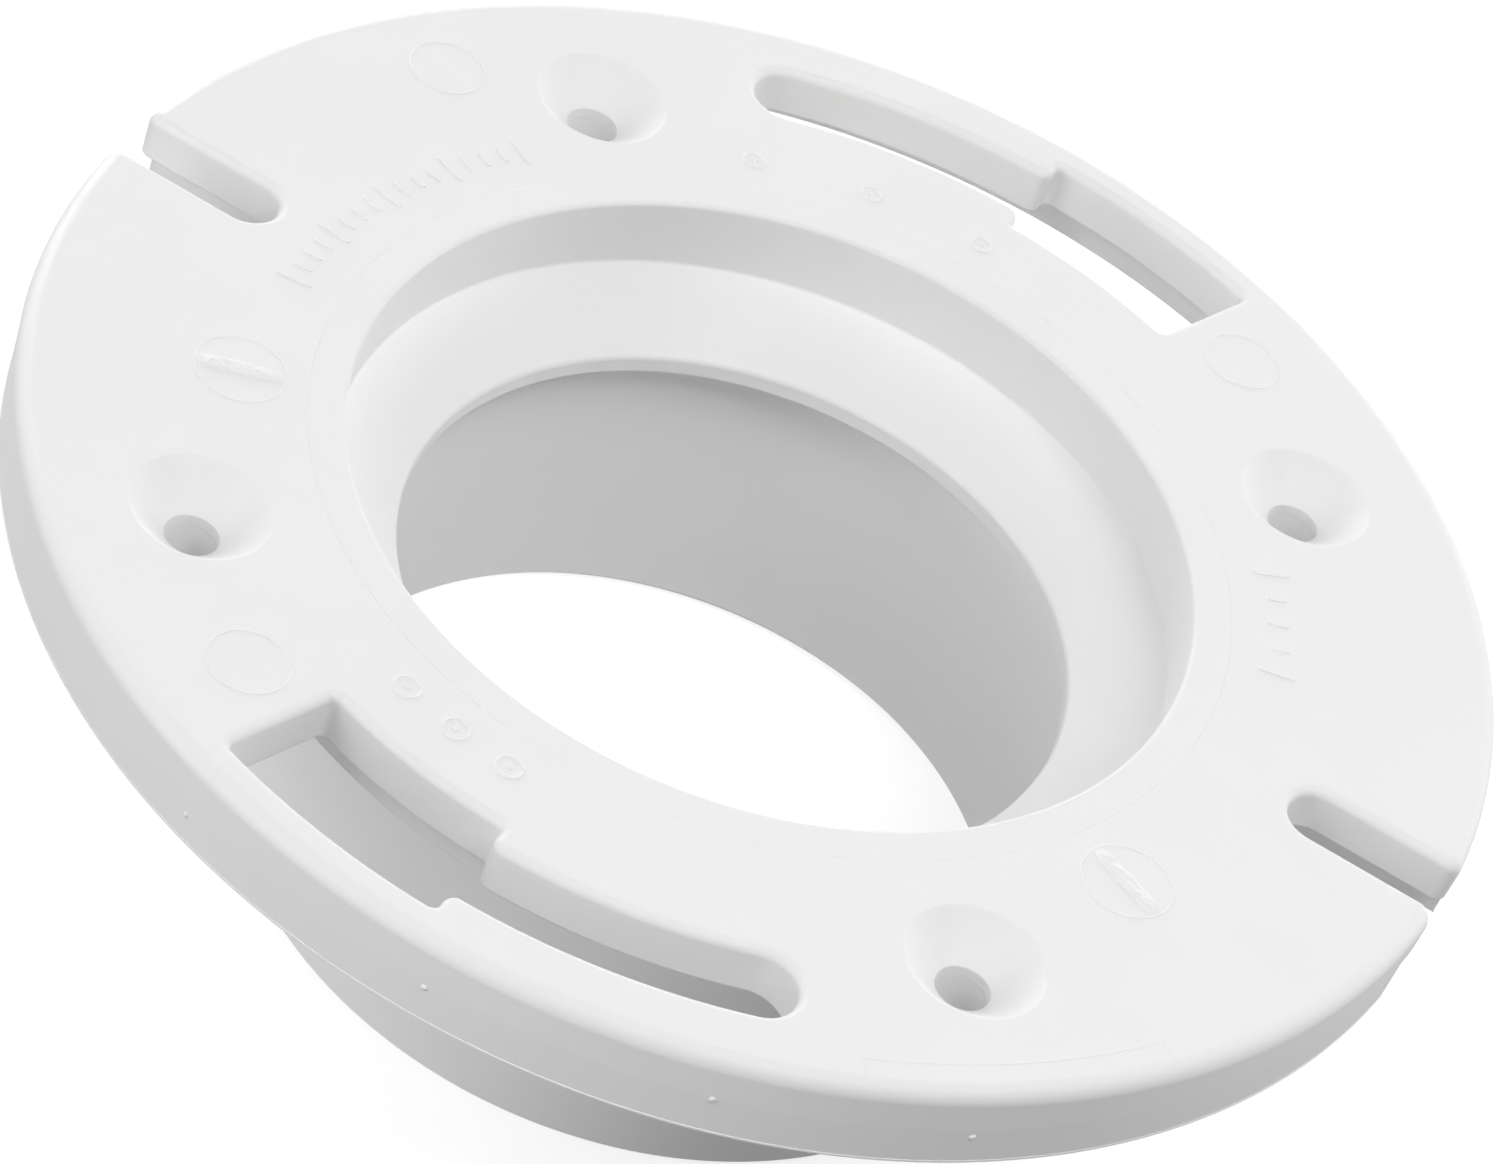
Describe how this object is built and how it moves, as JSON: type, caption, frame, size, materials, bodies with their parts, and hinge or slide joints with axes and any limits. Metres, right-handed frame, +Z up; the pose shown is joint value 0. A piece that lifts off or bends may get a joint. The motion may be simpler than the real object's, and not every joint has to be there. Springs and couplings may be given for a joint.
{
  "type": "toilet flange",
  "caption": "Closet flange moulded in white PVC: a slotted round plate with countersunk screw holes, a stepped drain throat and a short pipe hub underneath.",
  "frame": {"origin": "on the drain's axis at the finished floor, the plane of the flange's underside", "axes": "+Z up the drain's axis, from the pipe to the bowl; +X through one of the two open bolt slots"},
  "size_m": [0.1774, 0.1776, 0.0585],
  "materials": {
    "pvc": "satin moulded white PVC"
  },
  "bodies": {
    "root": {"flange_plate": "pvc", "rim_back": "pvc", "rim_front": "pvc", "throat_sleeve": "pvc", "support_collar": "pvc", "slot_rib_1": "pvc", "slot_rib_2": "pvc", "slot_rib_3": "pvc", "slot_rib_4": "pvc", "screw_boss_1": "pvc", "screw_boss_2": "pvc", "screw_boss_3": "pvc", "screw_boss_4": "pvc", "reducer_cone": "pvc", "pipe_stop": "pvc", "pipe_hub": "pvc", "gate_mark_1": "pvc", "gate_mark_2": "pvc", "ejector_marks": "pvc"}
  },
  "joints": []
}
